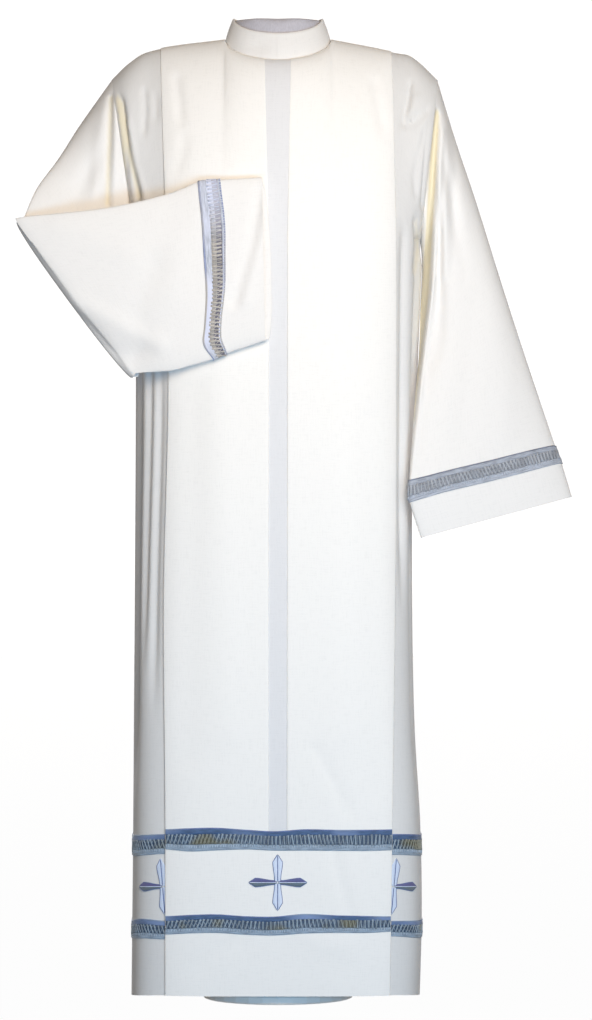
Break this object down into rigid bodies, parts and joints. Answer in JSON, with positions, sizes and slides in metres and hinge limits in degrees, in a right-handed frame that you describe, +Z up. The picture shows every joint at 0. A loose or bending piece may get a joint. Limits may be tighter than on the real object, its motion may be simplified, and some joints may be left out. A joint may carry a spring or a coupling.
{
  "type": "alb robe on dress form",
  "caption": "Ankle-length ivory alb with stand collar, wide sleeves, blue openwork bands and crosses, on a limbless dress form with a round base.",
  "frame": {"origin": "centre of the underside of the form's round base, on the surface that the part stands on", "axes": "+Z up along the pole, the robe's front faces -Y, +X to the right as seen from the front"},
  "size_m": [0.8573, 0.2914, 1.5265],
  "materials": {
    "ivory_cloth": "matt ivory wool and polyester cloth with a soft drape",
    "blue_ribbon_work": "blue satin ribbon with an openwork ladder",
    "cross_embroidery": "satin-stitched thread",
    "grey_form_cover": "grey jersey cover",
    "form_stand_steel": "pale grey powder coat"
  },
  "bodies": {
    "root": {"back": "ivory_cloth", "band_cuff_left": "blue_ribbon_work", "band_cuff_right": "blue_ribbon_work", "band_lower_back": "blue_ribbon_work", "band_lower_front": "blue_ribbon_work", "band_lower_side_left": "blue_ribbon_work", "band_lower_side_right": "blue_ribbon_work", "band_upper_back": "blue_ribbon_work", "band_upper_front": "blue_ribbon_work", "band_upper_side_left": "blue_ribbon_work", "band_upper_side_right": "blue_ribbon_work", "collar": "ivory_cloth", "cross_back": "cross_embroidery", "cross_front": "cross_embroidery", "cross_side_back_left": "cross_embroidery", "cross_side_back_right": "cross_embroidery", "cross_side_front_left": "cross_embroidery", "cross_side_front_right": "cross_embroidery", "form_base": "form_stand_steel", "form_pole": "form_stand_steel", "form_socket": "form_stand_steel", "form_torso": "grey_form_cover", "front_border": "ivory_cloth", "front_left": "ivory_cloth", "front_right": "ivory_cloth", "front_strip": "ivory_cloth", "side_back_left": "ivory_cloth", "side_back_right": "ivory_cloth", "side_front_left": "ivory_cloth", "side_front_right": "ivory_cloth", "sleeve_left": "ivory_cloth", "sleeve_right": "ivory_cloth"}
  },
  "joints": []
}
